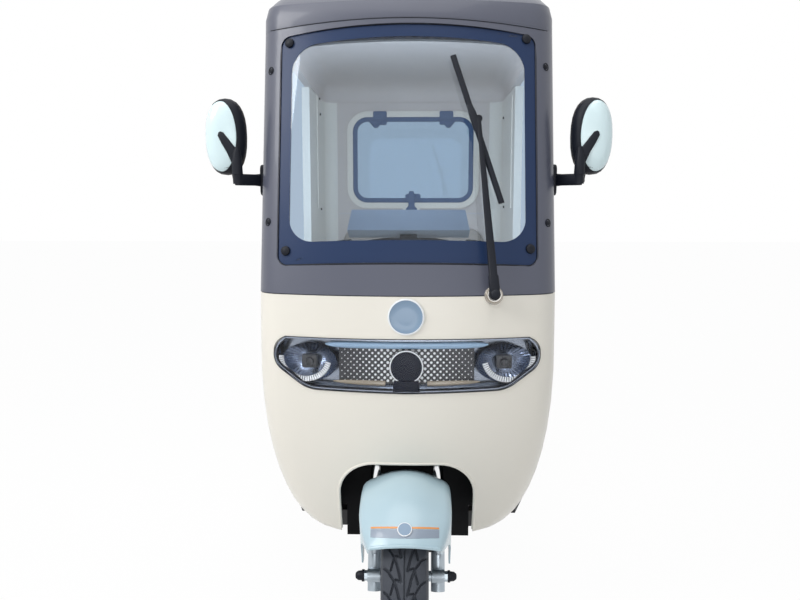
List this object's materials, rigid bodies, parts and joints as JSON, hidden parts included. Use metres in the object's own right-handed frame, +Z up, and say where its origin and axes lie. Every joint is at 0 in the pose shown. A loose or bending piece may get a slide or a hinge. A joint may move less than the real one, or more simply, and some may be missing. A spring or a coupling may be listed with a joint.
{
  "type": "electric tricycle",
  "caption": "Cabbed electric passenger tricycle with a steered front wheel, rounded nose, bowed windscreen with wiper, open doorways, driver seat and rear bench.",
  "frame": {"origin": "on the floor, under the middle of the overall box", "axes": "+Z up, -Y forward (the nose), +X to the right seen from the front"},
  "size_m": [1.062, 2.0999, 1.7422],
  "materials": {
    "cream_paint": "gloss",
    "grey_paint": "satin",
    "mint_paint": "gloss",
    "chassis_black": "satin",
    "floor_rubber": "ribbed mat",
    "black_plastic": "moulded",
    "grey_plastic": "moulded",
    "trim_plastic": "moulded",
    "clear_glass": "clear",
    "lamp_lens": "clear",
    "lamp_silver": "metallised",
    "bright_metal": "polished",
    "mirror_silver": "silvered",
    "seat_vinyl": "vinyl",
    "battery_case": "moulded",
    "axle_iron": "painted",
    "spring_steel": "painted",
    "red_lens": "moulded",
    "chrome": "polished",
    "fork_alloy": "painted silver",
    "grip_rubber": "ribbed",
    "tyre": "tread",
    "wheel_alloy": "painted silver",
    "disc_steel": "ground"
  },
  "bodies": {
    "chassis": {"frame": "chassis_black", "frame_rails": "chassis_black", "frame_cross_tubes": "chassis_black", "floor_pan": "floor_rubber", "front_cowl": "cream_paint", "arch_liner": "black_plastic", "leg_shield": "trim_plastic", "windscreen_frame": "grey_paint", "windscreen_glass": "clear_glass", "roof": "grey_paint", "quarter_left": "cream_paint", "quarter_right": "cream_paint", "rear_wall": "cream_paint", "rear_window_frame": "trim_plastic", "rear_window_pane": "clear_glass", "window_fittings": "grey_plastic", "headlamp_reflector": "lamp_silver", "headlamp_lens": "lamp_lens", "wiper_spindle": "bright_metal", "mirror_arms": "black_plastic", "mirror_shells": "mint_paint", "mirror_glasses": "mirror_silver", "driver_seat_base": "chassis_black", "driver_cushion": "seat_vinyl", "driver_backrest": "seat_vinyl", "rear_seat_box": "trim_plastic", "rear_seat_panel": "trim_plastic", "rear_cushion": "seat_vinyl", "rear_backrest": "seat_vinyl", "battery_pack": "battery_case", "rear_axle": "axle_iron", "leaf_springs": "spring_steel", "rear_fenders": "black_plastic", "rear_bumper": "chassis_black", "tail_lamps": "red_lens", "brake_pedal": "chassis_black"},
    "steering": {"steering_stem": "chassis_black", "fork_tubes": "chrome", "fork_sliders": "fork_alloy", "front_fender": "mint_paint", "handlebar": "chassis_black", "grips": "grip_rubber", "controls": "black_plastic", "instrument_pod": "grey_plastic", "brake_caliper": "chassis_black"},
    "front_wheel": {"front_tyre": "tyre", "front_rim": "wheel_alloy", "front_brake_disc": "disc_steel"},
    "rear_wheel_left": {"rear_tyre_left": "tyre", "rear_rim_left": "wheel_alloy"},
    "rear_wheel_right": {"rear_tyre_right": "tyre", "rear_rim_right": "wheel_alloy"},
    "wiper": {"wiper_arm": "black_plastic", "wiper_blade": "grip_rubber"}
  },
  "joints": [
    {"name": "steering_turn", "type": "hinge", "parent": "chassis", "child": "steering", "pos_m": [0, -0.77753, 0.21863], "axis": [0, 0.342, 0.9397], "range_deg": [-40, 40]},
    {"name": "front_wheel_spin", "type": "hinge", "parent": "steering", "child": "front_wheel", "pos_m": [0, -0.817, 0.233], "axis": [1, 0, 0], "continuous": true},
    {"name": "rear_left_spin", "type": "hinge", "parent": "chassis", "child": "rear_wheel_left", "pos_m": [-0.4, 0.723, 0.233], "axis": [1, 0, 0], "continuous": true},
    {"name": "rear_right_spin", "type": "hinge", "parent": "chassis", "child": "rear_wheel_right", "pos_m": [0.4, 0.723, 0.233], "axis": [1, 0, 0], "continuous": true},
    {"name": "wiper_sweep", "type": "hinge", "parent": "chassis", "child": "wiper", "pos_m": [0.215, -0.8021, 0.95291], "axis": [0, -0.9781, 0.2079], "range_deg": [-10, 50]}
  ]
}
